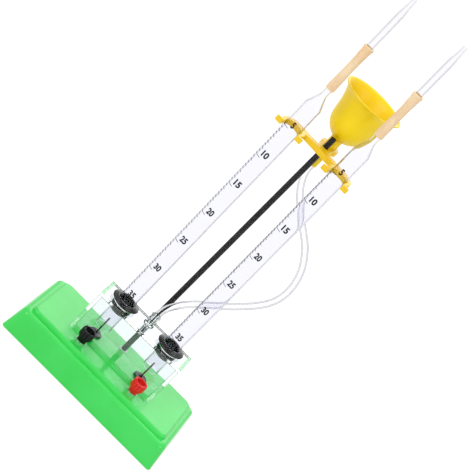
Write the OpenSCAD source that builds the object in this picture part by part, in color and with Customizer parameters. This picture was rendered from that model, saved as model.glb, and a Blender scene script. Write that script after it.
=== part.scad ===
// Water electrolysis apparatus (Hofmann voltameter) for the classroom.
// A hollow moulded base carries a clear tank with two electrodes.  Two graduated gas tubes
// stand over the electrodes in rubber stoppers and snap into a bracket on a support rod.
// The bracket also holds the filling funnel, whose hose leads back to the tank's lid.
// Frame: origin at the centre of the base's underside, X to the right, Y to the back, Z up.

/* [Base] */
// Width of the base at the table
base_w = 171; // [150:1:200]
// Depth of the base at the table
base_d = 95; // [86:1:115]
// How far the skirt draws in on each side on its way up
skirt_draw = 3; // [1:0.5:6]
// Height of the skirt, table to ledge
skirt_h = 24; // [18:0.1:34]
// Height of the deck above the ledge
deck_h = 4; // [2:0.5:7]
// Width of the ledge all round the deck
ledge_t = 6; // [4.5:0.5:9]
// Wall thickness of the base moulding
base_wall = 2.5; // [1.6:0.1:3]
// Corner radius of the skirt in plan
skirt_corner_r = 7; // [4:0.5:12]
// Corner radius of the deck in plan
deck_corner_r = 6; // [4:0.5:12]
// Rounding of the ledge's outer edge
ledge_edge_r = 4.5; // [1.5:0.25:4.5]
// Rounding of the deck's upper edge
deck_edge_r = 2.5; // [0.6:0.1:3]
// Thickness of the ribs under the deck
rib_t = 2; // [1.5:0.25:3]
// Depth of the ribs under the deck
rib_h = 9; // [4:0.5:12]

/* [Tank] */
// Outer width of the tank
tank_w = 93; // [86:1:110]
// Outer depth of the tank
tank_d = 31; // [29:0.5:36]
// Height of the tank without its lid
tank_h = 39; // [34:0.5:60]
// Thickness of the tank's walls and floor
tank_wall = 3; // [2:0.5:4]
// Thickness of the lid
lid_t = 3; // [2:0.5:4]

/* [Gas tubes] */
// Distance between the two gas tubes at the lid
tube_pitch = 53; // [48:0.5:58]
// Outer diameter of a gas tube
tube_od = 15.6; // [14:0.1:16.4]
// Wall thickness of the glass
glass_t = 0.9; // [0.7:0.05:1.2]
// How deep the right tube dips below the lid's top
tube_dip = 25; // [18:0.5:30]
// How much deeper the left tube is pushed in
left_tube_drop = 3.2; // [0:0.1:6]
// Length of the full-bore part of a gas tube
tube_len = 262; // [240:1:300]
// Length of the shoulder between bore and neck
shoulder_len = 13.5; // [10:0.5:20]
// Outer diameter of the neck, and of the glass jet
neck_od = 6; // [5:0.1:7]
// Length of the neck above the shoulder
neck_len = 19; // [15:0.5:25]
// Length of the neck that shows under the sleeve
neck_bare = 6.5; // [4:0.5:10]

/* [Sleeves and jets] */
// Length of a latex sleeve
sleeve_len = 46; // [40:1:55]
// Outer diameter of a sleeve between the glass ends
sleeve_od = 7.4; // [6.8:0.1:8.5]
// Outer diameter of a sleeve's rolled upper end
sleeve_top_od = 9.2; // [8.5:0.1:10]
// Outer diameter of a sleeve's lower end
sleeve_foot_od = 8.3; // [7.8:0.1:9.5]
// How far a jet is pushed into its sleeve
jet_grip = 13; // [10:0.5:18]
// Length of a jet that stands out of its sleeve, up to its taper
jet_len = 32.5; // [25:0.5:40]
// Length of a jet's taper
jet_taper = 18; // [12:0.5:25]
// Diameter of a jet at its tip
jet_tip_od = 3.6; // [3:0.1:4.4]

/* [Stoppers] */
// Widest diameter of a stopper's ridged collar
collar_od = 27.2; // [25.5:0.1:28.4]
// Height of the collar above the lid
collar_h = 4.3; // [3:0.1:6]
// Wall of the collar round the tube at its top
collar_wall = 1.5; // [1:0.1:2.5]
// Diameter of a stopper where it goes through the lid
stopper_neck_od = 19.6; // [18.8:0.1:21]
// How far a stopper reaches below the lid's top
stopper_reach = 7.6; // [6:0.1:10]

/* [Electrodes] */
// Diameter of an electrode
electrode_d = 1.5; // [1:0.1:2]
// Height of an electrode's tip above the tank's floor
electrode_h = 20.3; // [16:0.1:30]
// Diameter of the rubber plug round an electrode
plug_od = 12.6; // [11:0.1:14]
// Height of the plug above the tank's floor
plug_h = 2; // [1:0.1:3]
// Diameter of the plug's neck through the floor
plug_neck_od = 8; // [7:0.1:9]
// Diameter of the electrode's threaded stem
stem_d = 3; // [2.5:0.1:4]

/* [Support rod] */
// Diameter of the support rod
rod_d = 5; // [4:0.1:6]
// Distance of the rod behind the gas tubes
rod_y = 22.3; // [21.5:0.1:26]
// Height of the bracket's top above the deck
bracket_rise = 254.5; // [220:0.5:280]
// How far the rod stands out above the bracket
rod_reach = 10.5; // [5:0.5:15]

/* [Bracket] */
// Height of the bracket plate
bracket_h = 4.8; // [4:0.1:7]
// Depth of the bracket's bar
bar_d = 8; // [6:0.25:9]
// Thickness of a clip's arm
arm_t = 3.4; // [2.5:0.1:4.5]
// Clip's mouth, as a share of the tube's diameter
mouth_share = 0.96; // [0.92:0.01:0.98]
// Width of the web between bar and funnel ring
web_w = 12; // [10:0.5:14]
// Outer diameter of the ring that carries the funnel
ring_od = 17.4; // [15:0.1:20]
// Turn of the whole bracket on the rod, clockwise seen from above
head_turn = 7.5; // [0:0.5:10]

/* [Funnel] */
// Diameter of the funnel's rim
rim_d = 57; // [50:0.5:64]
// Height of the bowl, neck to rim
bowl_h = 43.5; // [36:0.5:52]
// Diameter of the neck under the bowl
funnel_neck_od = 11; // [9.5:0.1:12]
// Height of that neck above the bracket
funnel_neck_h = 8; // [6:0.5:12]
// Outer diameter of the stem that goes through the ring
stem_od = 8; // [7:0.1:9]
// Length of the stem below the bracket's top
stem_len = 22.5; // [16:0.5:30]
// Wall thickness of the bowl
funnel_t = 1.6; // [1.2:0.1:2]
// Distance of the funnel behind the rod
funnel_reach = 14.6; // [13:0.1:18]

/* [Hose and nozzle] */
// Outer diameter of the filling hose
hose_od = 6.2; // [5:0.1:7]
// Diameter of the nozzle's body
nozzle_od = 9.1; // [8:0.1:10]
// Height of the nozzle above the lid
nozzle_h = 12; // [9:0.5:15]
// Diameter of the nozzle's flange
flange_od = 10; // [9.6:0.1:12]
// Distance of the nozzle behind the gas tubes' line
nozzle_y = 4; // [2:0.5:7]

/* [Binding posts] */
// Distance between the two posts
post_pitch = 60; // [50:0.5:70]
// Distance of the posts in front of the tank
post_gap = 8; // [7:0.5:10]
// Diameter of the fluted head of a cap
cap_od = 13.2; // [12:0.1:15]
// Diameter of a cap's lower part
cap_foot_od = 10; // [9:0.1:11]
// Height of a cap
cap_h = 11.6; // [10:0.1:15]
// Height of the fluted head
cap_head_h = 7.4; // [5:0.1:8]
// Diameter of the recess in the cap's top
cap_recess_d = 8.6; // [8:0.1:9.6]
// Depth of that recess, down to the stud's end
cap_recess_h = 3.5; // [2:0.1:4.5]
// Diameter of the threaded stud
stud_d = 6; // [5:0.1:7]
// Diameter of the plug socket in the stud
socket_d = 4; // [3.6:0.1:4.2]
// Depth of the plug socket
socket_h = 14; // [10:0.5:15]

/* [Hidden] */
$fn = 64;

// Facets on the children of a hull
hull_fn = 32;
// How far a cut runs past what it cuts
overrun = 1;
// Thickness of the slices that a hull joins
slice = 0.02;
// Clearance between fixed pieces that fit in each other
fit_gap = 0.05;
// Clearance between pieces that slide or turn on each other
run_gap = 0.06;
// Clearance between flat faces of moving pieces
face_gap = 0.05;
// Clearance between a tube and its clip
clip_gap = 0.3;
// Steps in a rounded edge
edge_steps = 4;

// Heights above the table
deck_z = skirt_h + deck_h;
ceiling_z = deck_z - base_wall;
floor_z = deck_z + tank_wall;
lid_z = deck_z + tank_h + lid_t;
bracket_z = deck_z + bracket_rise;

// Base in plan
skirt_w = base_w - 2 * skirt_draw;
skirt_d = base_d - 2 * skirt_draw;
deck_w = skirt_w - 2 * ledge_t;
deck_d = skirt_d - 2 * ledge_t;
foot_corner_r = skirt_corner_r / 2;

// Rod socket and ribs under the deck
socket_wall = 3.5;
socket_boss_d = rod_d + 2 * socket_wall;
rod_nut_h = 0.8 * rod_d;
rod_end_z = skirt_h * 0.18;
rod_boss_z = rod_end_z + rod_nut_h + 0.2 * rod_d;
cross_rib_share = 0.33;
cross_rib_x = cross_rib_share * base_w;

// Gas tubes
tube_r = tube_od / 2;
bore_r = tube_r - glass_t;
neck_r = neck_od / 2;
neck_bore_r = neck_r - glass_t;
tube_top = tube_len - tube_dip;
sleeve_foot = tube_top + shoulder_len + neck_bare;
sleeve_top = sleeve_foot + sleeve_len;
jet_foot = sleeve_top - jet_grip;
jet_shoulder = sleeve_top + jet_len;
jet_tip = jet_shoulder + jet_taper;
// A jet narrows a little inside its sleeve, down to its foot
jet_grip_r = 0.97 * neck_r;
jet_foot_r = 0.93 * neck_r;
jet_ease = neck_od / 10;

// The bracket turns about the rod, so both tubes lean a little with it
clip_r = tube_r + clip_gap;
clip_reach = rod_y;
bar_front = -clip_reach + clip_r + clip_gap;
lip_reach = 1.4;
lip_flare = 0.8;
tab_w = 6.2;
tab_d = 2;
grip_rise = bracket_z - bracket_h / 2 - lid_z;

function head_xy(x, y) = [x * cos(head_turn) + y * sin(head_turn),
    rod_y - x * sin(head_turn) + y * cos(head_turn)];
function tube_shift(side) = head_xy(side * tube_pitch / 2, -clip_reach) - [side * tube_pitch / 2, 0];

// Funnel
bowl_foot_z = bracket_z + funnel_neck_h;
stem_end_z = bracket_z - stem_len;
funnel_bore_r = stem_od / 2 - funnel_t;
hose_socket_r = hose_od / 2 + fit_gap;
hose_socket_h = 8;
rim_r = rim_d / 2;
// Outline of the bowl as shares of the rim's radius and the bowl's height
bowl_shares = [[0.30, 0.035], [0.40, 0.075], [0.53, 0.155], [0.63, 0.265], [0.685, 0.40],
    [0.72, 0.55], [0.765, 0.68], [0.815, 0.78], [0.86, 0.86], [0.915, 0.925], [0.985, 0.97]];

// Nozzle
nozzle_top_z = lid_z + nozzle_h;
nozzle_bore_r = hose_od / 4;
flange_h = nozzle_h / 10;
spigot_r = hose_od / 2;

// Binding posts
post_y = -tank_d / 2 - post_gap;
stud_r = stud_d / 2;
stud_flange_r = 0.45 * cap_foot_od;
stud_flange_h = 0.9;
clamp_washer_h = 0.7;
clamp_washer_r = 0.48 * cap_foot_od;
washer_z = deck_z + stud_flange_h + face_gap;
cap_z = washer_z + clamp_washer_h + face_gap;
cap_top_z = cap_z + cap_h;
stud_top_z = cap_top_z - cap_recess_h;
wire_hole_r = stud_r / 3;
flutes = 14;

// Nuts, lock washers and solder lugs, hanging under the deck
lug_t = 0.5;
lock_washer_h = 0.8;
post_lug_z = ceiling_z - lock_washer_h - lug_t;
post_nut_h = 3.2;
post_nut_z = post_lug_z - post_nut_h;
stud_end_z = post_nut_z - 1.2;
electrode_lug_z = ceiling_z - lug_t;
electrode_nut_h = 2.4;
electrode_nut_z = electrode_lug_z - electrode_nut_h;
stem_end_low_z = electrode_nut_z - 1.5;
electrode_lug_len = 8;
post_lug_len = 9.5;
lug_tail_w = 2.6;
wire_d = 1.8;

// The hose's middle line, from inside the funnel's stem to inside the nozzle.
// Its bends have their heights above the deck.
hose_start = concat(head_xy(0, funnel_reach), [stem_end_z + hose_socket_h]);
hose_end = [0, nozzle_y, nozzle_top_z - hose_socket_h];
hose_bends = [[2.5, 36.7, 225], [4.9, 36.3, 218], [10.2, 35.4, 209.7], [20, 33.2, 200], [33, 29.6, 190.5],
    [46, 25.6, 181], [56, 22.4, 168.5], [61, 20.4, 155.5], [62.2, 19, 143.5], [60, 17.8, 131.5],
    [53.4, 16.8, 119.5], [43, 15.6, 107], [31, 14.4, 95], [17.6, 11.6, 84], [7.6, 7.5, 73.5], [1.6, 4.7, 63]];
hose_route = concat([hose_start, hose_start - [0, 0, hose_socket_h]], [for (p = hose_bends) p + [0, 0, deck_z]],
    [hose_end + [0, 0, hose_socket_h], hose_end]);
hose_steps = 3;
hose_sides = 10;
wire_steps = 4;
wire_sides = 8;

// A rectangle with round corners, in plan
module rounded_plan(w, d, r) {
    square([w - 2 * r, d], center = true);
    square([w, d - 2 * r], center = true);
    for (sx = [-1, 1], sy = [-1, 1])
        translate([sx * (w / 2 - r), sy * (d / 2 - r)])
            circle(r);
}

// A thin slice of such a rectangle at a height
module plan_slice(w, d, r, z) {
    translate([0, 0, z])
        linear_extrude(slice)
            rounded_plan(w, d, r);
}

// Slices that round an upper edge whose top is at the given height
module edge_slices(w, d, r, edge_r, top) {
    for (i = [0:edge_steps]) {
        a = 90 * i / edge_steps;
        draw = edge_r * (1 - cos(a));
        plan_slice(w - 2 * draw, d - 2 * draw, r - draw / 2, top - slice - edge_r * (1 - sin(a)));
    }
}

// A hollow cylinder
module sleeve(r_out, r_in, z, h) {
    translate([0, 0, z])
        difference() {
            cylinder(r = r_out, h = h);
            translate([0, 0, -overrun])
                cylinder(r = r_in, h = h + 2 * overrun);
        }
}

// A hexagon nut with its bore
module hex_nut(across, r_in, z, h) {
    translate([0, 0, z])
        difference() {
            cylinder(d = across / cos(30), h = h, $fn = 6);
            translate([0, 0, -overrun])
                cylinder(r = r_in, h = h + 2 * overrun);
        }
}

// A solder lug: a ring with a flat tail that points along +X
module solder_lug(r_out, r_in, tail, z) {
    translate([0, 0, z])
        difference() {
            union() {
                cylinder(r = r_out, h = lug_t);
                translate([0, -lug_tail_w / 2, 0])
                    cube([tail, lug_tail_w, lug_t]);
            }
            translate([0, 0, -overrun])
                cylinder(r = r_in, h = lug_t + 2 * overrun);
        }
}

// Places its children on a gas tube's leaning axis, with zero at the lid's top
module on_tube(side) {
    shift = tube_shift(side);
    span = norm([shift[0], shift[1], grip_rise]);
    translate([side * tube_pitch / 2, 0, lid_z])
        rotate([asin(-shift[1] / span), atan2(shift[0], grip_rise), 0])
            translate([0, 0, side < 0 ? -left_tube_drop : 0])
                children();
}

// Places its children in the bracket's own frame, with zero on the rod
module on_head(z) {
    translate([0, rod_y, z])
        rotate([0, 0, -head_turn])
            children();
}

// A smooth line through the route's points
function along(p, i) = p[max(0, min(len(p) - 1, i))];
function curve_point(p, i, t) =
    let (a = along(p, i - 1), b = along(p, i), c = along(p, i + 1), d = along(p, i + 2))
    0.5 * (2 * b + (c - a) * t + (2 * a - 5 * b + 4 * c - d) * t * t + (3 * b - a - 3 * c + d) * t * t * t);
function smooth_route(p, steps) =
    concat([for (i = [0:len(p) - 2], j = [0:steps - 1]) curve_point(p, i, j / steps)], [p[len(p) - 1]]);
function unit(v) = v / norm(v);

// A round cord swept along a line, its rings square to the line and to a side direction
module swept_cord(line, d, sides, side_dir, first_dir, last_dir) {
    n = len(line);
    tangents = [for (i = [0:n - 1]) i == 0 ? first_dir : i == n - 1 ? last_dir
        : unit(line[i + 1] - line[i - 1])];
    rings = [for (i = [0:n - 1])
        let (u = unit(cross(tangents[i], side_dir)), v = cross(tangents[i], u))
        for (k = [0:sides - 1])
            line[i] + d / 2 * (cos(360 * k / sides) * u + sin(360 * k / sides) * v)];
    walls = [for (i = [0:n - 2], k = [0:sides - 1])
        let (a = i * sides + k, b = i * sides + (k + 1) % sides)
        each [[a, b, b + sides], [a, b + sides, a + sides]]];
    first_cap = [for (k = [1:sides - 2]) [0, k + 1, k]];
    end = (n - 1) * sides;
    last_cap = [for (k = [1:sides - 2]) [end, end + k, end + k + 1]];
    polyhedron(points = rings, faces = concat(walls, first_cap, last_cap));
}

module base_shell() {
    color([0.25, 0.86, 0.36])
    difference() {
        union() {
            difference() {
                union() {
                    hull($fn = hull_fn) {
                        plan_slice(base_w, base_d, foot_corner_r, 0, $fn = hull_fn);
                        edge_slices(skirt_w, skirt_d, skirt_corner_r, ledge_edge_r, skirt_h, $fn = hull_fn);
                    }
                    hull() {
                        plan_slice(deck_w, deck_d, deck_corner_r, skirt_h - base_wall, $fn = hull_fn);
                        edge_slices(deck_w, deck_d, deck_corner_r, deck_edge_r, deck_z, $fn = hull_fn);
                    }
                }
                hull() {
                    plan_slice(base_w - 2 * base_wall, base_d - 2 * base_wall, foot_corner_r / 2,
                        -slice / 2, $fn = hull_fn);
                    plan_slice(skirt_w - 2 * base_wall, skirt_d - 2 * base_wall, skirt_corner_r / 2,
                        skirt_h - ledge_edge_r - base_wall / 2, $fn = hull_fn);
                    plan_slice(deck_w - 2 * base_wall, deck_d - 2 * base_wall, deck_corner_r - base_wall,
                        skirt_h - base_wall, $fn = hull_fn);
                }
                translate([0, 0, skirt_h - 2 * base_wall])
                    linear_extrude(ceiling_z - skirt_h + 2 * base_wall, $fn = hull_fn)
                        rounded_plan(deck_w - 2 * base_wall, deck_d - 2 * base_wall,
                            deck_corner_r - base_wall);
            }
            // Socket for the rod
            translate([0, rod_y, rod_boss_z])
                cylinder(d = socket_boss_d, h = ceiling_z + base_wall / 2 - rod_boss_z);
            // Ribs across and along the deck's underside
            for (sx = [-1, 1])
                translate([sx * cross_rib_x - rib_t / 2, -(skirt_d - base_wall) / 2, ceiling_z - rib_h])
                    cube([rib_t, skirt_d - base_wall, skirt_h - base_wall / 2 - ceiling_z + rib_h]);
            for (sx = [-1, 1])
                translate([sx > 0 ? socket_boss_d / 4 : -cross_rib_x, rod_y - rib_t / 2, ceiling_z - rib_h])
                    cube([cross_rib_x - socket_boss_d / 4, rib_t, rib_h + base_wall / 2]);
        }
        translate([0, rod_y, 0])
            cylinder(r = rod_d / 2 + fit_gap, h = deck_z + overrun);
        for (sx = [-1, 1]) {
            translate([sx * post_pitch / 2, post_y, ceiling_z - overrun])
                cylinder(r = stud_r + fit_gap, h = base_wall + 2 * overrun);
            translate([sx * tube_pitch / 2, 0, ceiling_z - overrun])
                cylinder(r = plug_neck_od / 2 + fit_gap, h = base_wall + 2 * overrun);
        }
    }
}

module support_rod() {
    color([0.13, 0.13, 0.14])
    translate([0, rod_y, rod_end_z])
        cylinder(d = rod_d, h = bracket_z + rod_reach - rod_end_z);
}

module rod_foot_washer() {
    color([0.9, 0.94, 0.9])
    translate([0, rod_y, 0])
        sleeve(0.8 * rod_d, rod_d / 2 + fit_gap, deck_z, rod_d / 6);
}

module rod_nut() {
    color([0.75, 0.76, 0.78])
    translate([0, rod_y, 0])
        hex_nut(1.6 * rod_d, rod_d / 2 + fit_gap, rod_boss_z - rod_nut_h, rod_nut_h);
}

module electrolysis_tank() {
    color([0.82, 0.93, 0.9, 0.35])
    difference() {
        translate([-tank_w / 2, -tank_d / 2, deck_z])
            cube([tank_w, tank_d, tank_h]);
        translate([-tank_w / 2 + tank_wall, -tank_d / 2 + tank_wall, floor_z])
            cube([tank_w - 2 * tank_wall, tank_d - 2 * tank_wall, tank_h]);
        for (sx = [-1, 1])
            translate([sx * tube_pitch / 2, 0, deck_z - overrun])
                cylinder(r = plug_neck_od / 2 + fit_gap, h = tank_wall + 2 * overrun);
    }
}

module tank_lid() {
    color([0.82, 0.93, 0.9, 0.35])
    difference() {
        translate([-tank_w / 2, -tank_d / 2, lid_z - lid_t])
            cube([tank_w, tank_d, lid_t]);
        for (sx = [-1, 1])
            translate([sx * tube_pitch / 2, 0, lid_z - lid_t - overrun])
                cylinder(r = stopper_neck_od / 2 + fit_gap, h = lid_t + 2 * overrun);
        translate([0, nozzle_y, lid_z - lid_t - overrun])
            cylinder(r = spigot_r + fit_gap, h = lid_t + 2 * overrun);
    }
}

// Rubber stopper, upright in the lid, with the tube's leaning bore through it.
// Its collar is widest at mid height, with two ridges below and a plain cone above.
module stopper(side) {
    neck = stopper_neck_od / 2;
    spread = collar_od / 2 - neck;
    top_r = tube_r + collar_wall;
    ridge = collar_h / 20;
    color([0.12, 0.12, 0.13])
    difference() {
        translate([side * tube_pitch / 2, 0, lid_z])
            rotate_extrude()
                polygon([
                    [0, -stopper_reach],
                    [neck - 3 * ridge, -stopper_reach],
                    [neck, -stopper_reach + 3 * ridge],
                    [neck, 0],
                    [neck + 0.22 * spread, 0],
                    [neck + 0.42 * spread, 0.14 * collar_h],
                    [neck + 0.36 * spread, 0.14 * collar_h + ridge],
                    [neck + 0.68 * spread, 0.28 * collar_h],
                    [neck + 0.62 * spread, 0.28 * collar_h + ridge],
                    [neck + 0.94 * spread, 0.42 * collar_h],
                    [neck + spread, 0.5 * collar_h],
                    [neck + 0.93 * spread, 0.6 * collar_h],
                    [top_r + ridge, collar_h - 2 * ridge],
                    [top_r - ridge, collar_h],
                    [0, collar_h]]);
        on_tube(side)
            translate([0, 0, -2 * stopper_reach])
                cylinder(r = tube_r + run_gap, h = 4 * stopper_reach);
    }
}

module left_stopper() { stopper(-1); }
module right_stopper() { stopper(1); }

// Glass gas tube: full bore, shoulder and neck, open at both ends
module gas_tube(side) {
    mid = tube_top + shoulder_len / 2;
    bend = shoulder_len / 4;
    color([0.85, 0.92, 0.95, 0.35])
    on_tube(side)
        rotate_extrude()
            polygon([
                [bore_r, -tube_dip],
                [tube_r, -tube_dip],
                [tube_r, tube_top],
                [tube_r - 0.07 * (tube_r - neck_r), tube_top + bend / 2],
                [tube_r - 0.24 * (tube_r - neck_r), mid - bend],
                [(tube_r + neck_r) / 2, mid],
                [neck_r + 0.24 * (tube_r - neck_r), mid + bend],
                [neck_r + 0.07 * (tube_r - neck_r), tube_top + shoulder_len - bend / 2],
                [neck_r, tube_top + shoulder_len],
                [neck_r, tube_top + shoulder_len + neck_len],
                [neck_bore_r, tube_top + shoulder_len + neck_len],
                [neck_bore_r, tube_top + shoulder_len],
                [neck_bore_r + 0.07 * (tube_r - neck_r), tube_top + shoulder_len - bend / 2],
                [neck_bore_r + 0.24 * (tube_r - neck_r), mid + bend],
                [(bore_r + neck_bore_r) / 2, mid],
                [bore_r - 0.24 * (tube_r - neck_r), mid - bend],
                [bore_r - 0.07 * (tube_r - neck_r), tube_top + bend / 2],
                [bore_r, tube_top]]);
}

module left_gas_tube() { gas_tube(-1); }
module right_gas_tube() { gas_tube(1); }

// Latex sleeve that joins a gas tube's neck to its jet, drawn in between the two
module latex_sleeve(side) {
    grip_end = tube_top + shoulder_len + neck_len;
    waist_r = sleeve_od / 2;
    foot_r = sleeve_foot_od / 2;
    head_r = sleeve_top_od / 2;
    inner_r = 0.85 * neck_r;
    lip = sleeve_len / 12;
    color([0.93, 0.81, 0.66])
    on_tube(side)
        rotate_extrude()
            polygon([
                [neck_r, sleeve_foot],
                [foot_r, sleeve_foot],
                [foot_r, grip_end - lip],
                [waist_r, grip_end + lip],
                [waist_r, jet_foot - lip],
                [(waist_r + head_r) / 2, jet_foot + lip],
                [(waist_r + head_r) / 2, sleeve_top - 1.4 * lip],
                [head_r, sleeve_top - 0.6 * lip],
                [head_r, sleeve_top],
                [jet_grip_r, sleeve_top],
                [jet_foot_r, jet_foot],
                [inner_r, jet_foot],
                [inner_r, grip_end],
                [neck_r, grip_end]]);
}

module left_latex_sleeve() { latex_sleeve(-1); }
module right_latex_sleeve() { latex_sleeve(1); }

// Glass jet, drawn out to a fine tip
module glass_jet(side) {
    tip_r = jet_tip_od / 2;
    knee = jet_taper / 6;
    color([0.85, 0.92, 0.95, 0.35])
    on_tube(side)
        rotate_extrude()
            polygon([
                [neck_bore_r, jet_foot],
                [jet_foot_r, jet_foot],
                [jet_grip_r, sleeve_top],
                [neck_r, sleeve_top + jet_ease],
                [neck_r, jet_shoulder],
                [neck_r - 0.12 * (neck_r - tip_r), jet_shoulder + knee],
                [tip_r + 0.25 * (neck_r - tip_r), jet_tip - 2.2 * knee],
                [tip_r, jet_tip],
                [tip_r - glass_t, jet_tip],
                [tip_r - glass_t + 0.25 * (neck_r - tip_r), jet_tip - 2.2 * knee],
                [neck_bore_r - 0.12 * (neck_r - tip_r), jet_shoulder + knee],
                [neck_bore_r, jet_shoulder]]);
}

module left_glass_jet() { glass_jet(-1); }
module right_glass_jet() { glass_jet(1); }

// One clip of the bracket in plan, its tube at zero and its mouth to the front
module clip_plan() {
    arm_r = clip_r + arm_t;
    back_r = clip_r + clip_gap + bar_d;
    mouth = tube_r * mouth_share;
    mouth_y = -sqrt(clip_r * clip_r - mouth * mouth);
    lip = [mouth + lip_flare, -clip_r - lip_reach];
    throat = [mouth, mouth_y] + 0.25 * ([mouth, mouth_y] - lip);
    arm = [
        throat,
        lip,
        [lip[0] + tab_w - tab_d / 2, lip[1]],
        [lip[0] + tab_w, lip[1] + tab_d / 2],
        [lip[0] + tab_w - tab_d / 2, lip[1] + tab_d],
        [arm_r - tab_d / 2, lip[1] + 1.5 * tab_d],
        [arm_r, mouth_y / 2]];
    back = [for (a = [0:7.5:180]) [arm_r * cos(a), back_r * sin(a)]];
    other_arm = [for (i = [len(arm) - 1:-1:0]) [-arm[i][0], arm[i][1]]];
    polygon(concat(arm, back, other_arm));
}

module tube_bracket() {
    color([0.97, 0.76, 0.06])
    on_head(bracket_z - bracket_h)
        difference() {
            linear_extrude(bracket_h) {
                for (sx = [-1, 1])
                    translate([sx * tube_pitch / 2, -clip_reach])
                        clip_plan();
                translate([-tube_pitch / 2, bar_front])
                    square([tube_pitch, bar_d]);
                translate([-web_w / 2, bar_front + bar_d / 2])
                    square([web_w, funnel_reach - bar_front - bar_d / 2]);
                translate([0, funnel_reach])
                    circle(d = ring_od);
            }
            for (sx = [-1, 1])
                translate([sx * tube_pitch / 2, -clip_reach, -overrun])
                    cylinder(r = clip_r, h = bracket_h + 2 * overrun);
            translate([0, 0, -overrun])
                cylinder(r = rod_d / 2 + fit_gap, h = bracket_h + 2 * overrun);
            translate([0, funnel_reach, -overrun])
                cylinder(r = stem_od / 2 + fit_gap, h = bracket_h + 2 * overrun);
        }
}

// Outline of the bowl and the same outline one wall further in
bowl_outer = [for (s = bowl_shares) [s[0] * rim_r, bowl_foot_z + s[1] * bowl_h]];
bowl_inner = [for (i = [0:len(bowl_outer) - 1])
    let (d = unit(bowl_outer[min(i + 1, len(bowl_outer) - 1)] - bowl_outer[max(i - 1, 0)]))
    bowl_outer[i] + funnel_t * [-d[1], d[0]]];

module filling_funnel() {
    neck = funnel_neck_od / 2;
    inner_foot_z = bowl_inner[1][1];
    color([0.98, 0.82, 0.05])
    translate(concat(head_xy(0, funnel_reach), [0]))
        rotate_extrude()
            polygon(concat(
                [[hose_socket_r, stem_end_z + hose_socket_h],
                    [hose_socket_r, stem_end_z],
                    [stem_od / 2, stem_end_z],
                    [stem_od / 2, bracket_z],
                    [neck, bracket_z],
                    [neck, bowl_foot_z]],
                bowl_outer,
                [[rim_r, bowl_foot_z + bowl_h - funnel_t / 2],
                    [rim_r - funnel_t / 4, bowl_foot_z + bowl_h]],
                [[rim_r - funnel_t, bowl_foot_z + bowl_h - funnel_t / 4]],
                [for (i = [len(bowl_inner) - 2:-1:2]) bowl_inner[i]],
                [[funnel_bore_r + funnel_t, inner_foot_z],
                    [funnel_bore_r, inner_foot_z - funnel_t],
                    [funnel_bore_r, stem_end_z + hose_socket_h]]));
}

module filling_hose() {
    color([0.9, 0.95, 0.97, 0.4])
    swept_cord(smooth_route(hose_route, hose_steps), hose_od, hose_sides, [0, 1, 0], [0, 0, -1], [0, 0, -1]);
}

// Clear nozzle with a flange on the lid and a spigot through it
module inlet_nozzle() {
    body_r = nozzle_od / 2;
    bevel = nozzle_h / 8;
    color([0.86, 0.95, 0.93, 0.4])
    translate([0, nozzle_y, lid_z])
        rotate_extrude()
            polygon([
                [nozzle_bore_r, -lid_t - bevel],
                [spigot_r, -lid_t - bevel],
                [spigot_r, 0],
                [flange_od / 2, 0],
                [flange_od / 2, flange_h],
                [body_r, 1.5 * flange_h],
                [body_r, nozzle_h - bevel],
                [body_r - bevel / 2, nozzle_h - bevel / 3],
                [body_r - bevel, nozzle_h],
                [hose_socket_r, nozzle_h],
                [hose_socket_r, nozzle_h - hose_socket_h],
                [nozzle_bore_r, nozzle_h - hose_socket_h]]);
}

// Electrode with its threaded stem, standing in its plug
module electrode(side) {
    knee = stem_d / 2 - electrode_d / 2;
    color([0.35, 0.34, 0.33])
    translate([side * tube_pitch / 2, 0, 0])
        rotate_extrude()
            polygon([
                [0, stem_end_low_z],
                [stem_d / 2, stem_end_low_z],
                [stem_d / 2, floor_z + plug_h / 2],
                [electrode_d / 2, floor_z + plug_h / 2 + knee],
                [electrode_d / 2, floor_z + electrode_h],
                [0, floor_z + electrode_h]]);
}

module left_electrode() { electrode(-1); }
module right_electrode() { electrode(1); }

// Rubber plug that seals an electrode in the tank's floor
module electrode_plug(side) {
    r = plug_od / 2;
    bevel = plug_h / 4;
    bore = stem_d / 2 + fit_gap;
    color([0.15, 0.17, 0.16])
    translate([side * tube_pitch / 2, 0, 0])
        rotate_extrude()
            polygon([
                [bore, ceiling_z],
                [plug_neck_od / 2, ceiling_z],
                [plug_neck_od / 2, floor_z],
                [r, floor_z],
                [r, floor_z + plug_h - bevel],
                [r - bevel, floor_z + plug_h],
                [bore, floor_z + plug_h]]);
}

module left_electrode_plug() { electrode_plug(-1); }
module right_electrode_plug() { electrode_plug(1); }

// Screw cap of a binding post: a fluted head on a narrower foot
module post_cap(side, tint) {
    head_r = cap_od / 2;
    foot_r = cap_foot_od / 2;
    foot_h = cap_h - cap_head_h;
    recess_r = cap_recess_d / 2;
    bevel = cap_head_h / 16;
    color(tint)
    translate([side * post_pitch / 2, post_y, cap_z])
        difference() {
            rotate_extrude()
                polygon([
                    [stud_r + run_gap, 0],
                    [foot_r - bevel, 0],
                    [foot_r, bevel],
                    [foot_r, foot_h - bevel],
                    [head_r, foot_h + bevel],
                    [head_r, cap_h - bevel],
                    [head_r - bevel, cap_h],
                    [recess_r + bevel / 2, cap_h],
                    [recess_r, cap_h - bevel / 2],
                    [recess_r, cap_h - cap_recess_h],
                    [stud_r + run_gap, cap_h - cap_recess_h]]);
            for (i = [0:flutes - 1])
                rotate([0, 0, 360 * i / flutes])
                    translate([head_r + bevel / 2, 0, foot_h - overrun])
                        cylinder(r = 1.6 * bevel, h = cap_h);
        }
}

module black_post_cap() { post_cap(-1, [0.12, 0.12, 0.13]); }
module red_post_cap() { post_cap(1, [0.9, 0.1, 0.1]); }

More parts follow.
